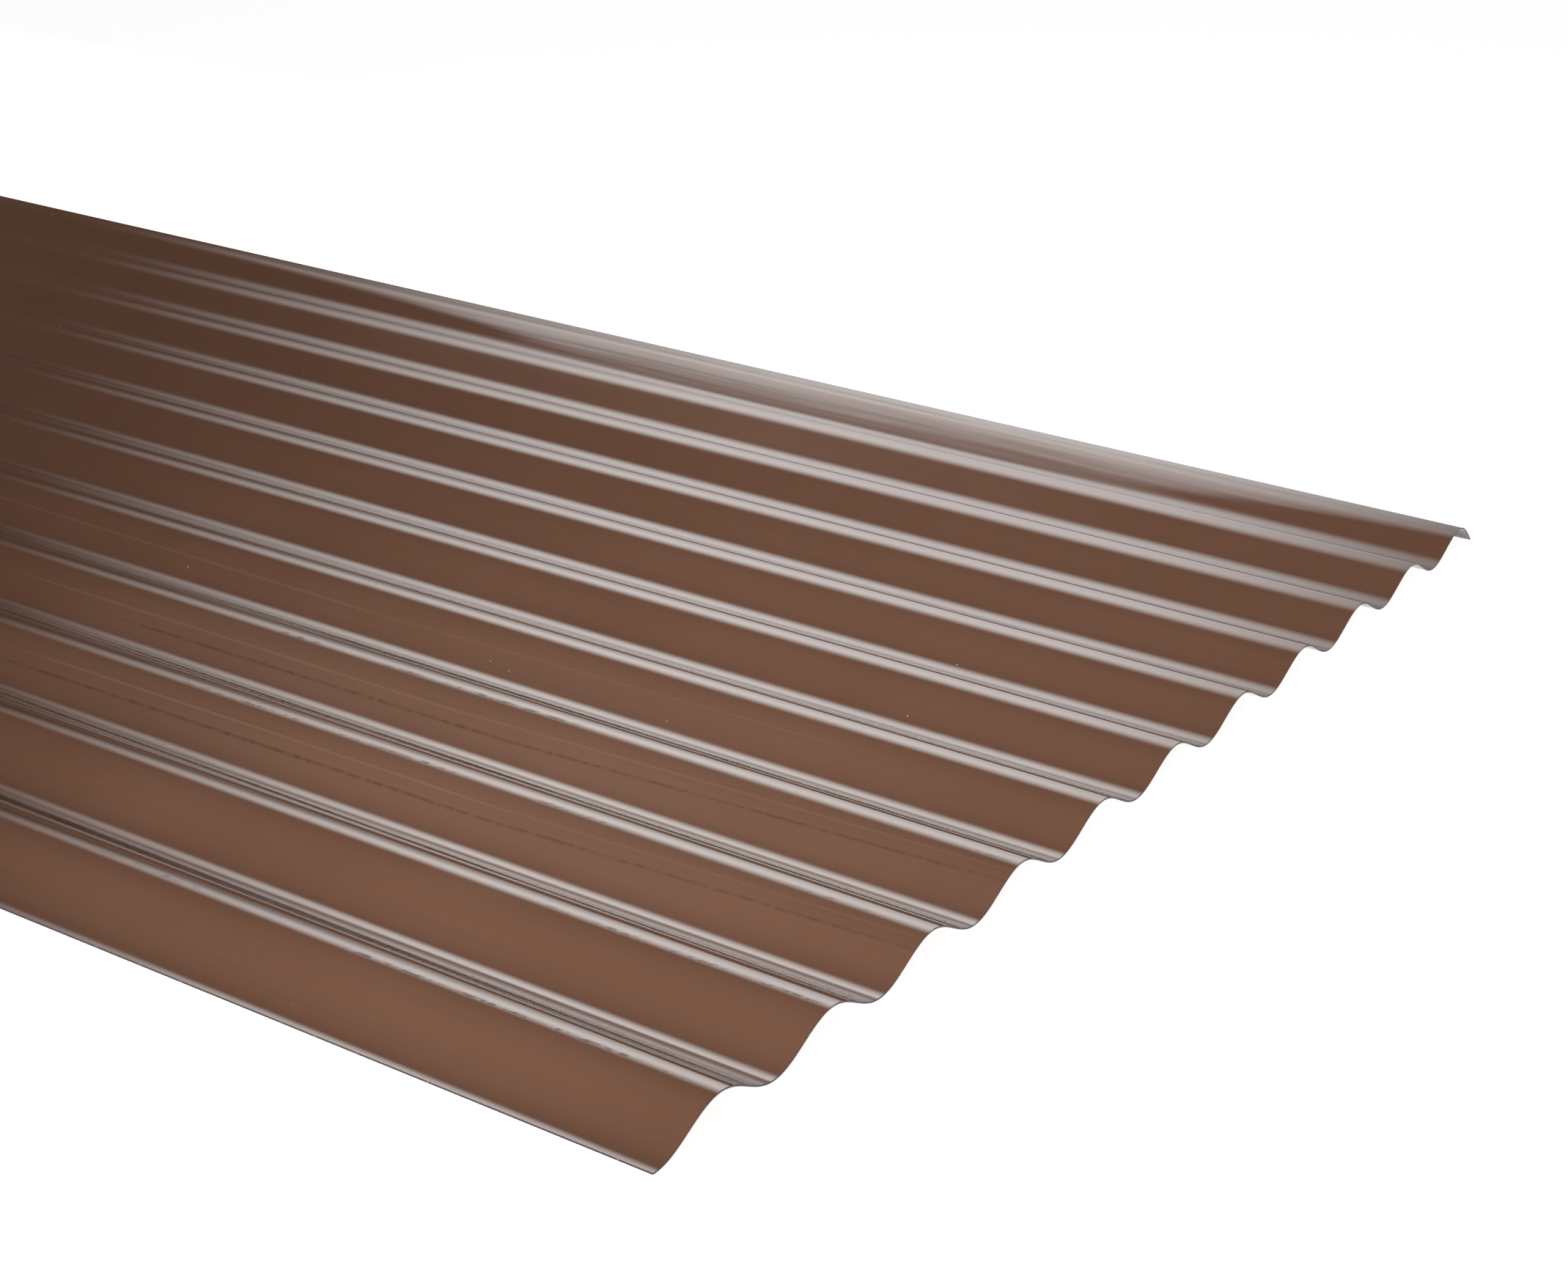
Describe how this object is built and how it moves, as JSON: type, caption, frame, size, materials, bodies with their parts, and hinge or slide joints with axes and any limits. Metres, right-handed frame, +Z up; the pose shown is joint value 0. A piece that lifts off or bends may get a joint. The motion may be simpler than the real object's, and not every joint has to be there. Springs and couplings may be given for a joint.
{
  "type": "corrugated polycarbonate sheet",
  "caption": "Long, thin corrugated roofing sheet in glossy bronze-brown polycarbonate, with sine waves, square-cut ends and a turned-down far edge.",
  "frame": {"origin": "middle of the sheet's footprint, level with the undersides of the troughs", "axes": "+X across the waves towards the edge with the turned-down lip, +Y along the waves, +Z up"},
  "size_m": [0.8238, 2, 0.014],
  "materials": {
    "polycarbonate": "smooth, glossy, bronze-brown, nearly opaque"
  },
  "bodies": {
    "root": {"corrugated_sheet": "polycarbonate"}
  },
  "joints": []
}
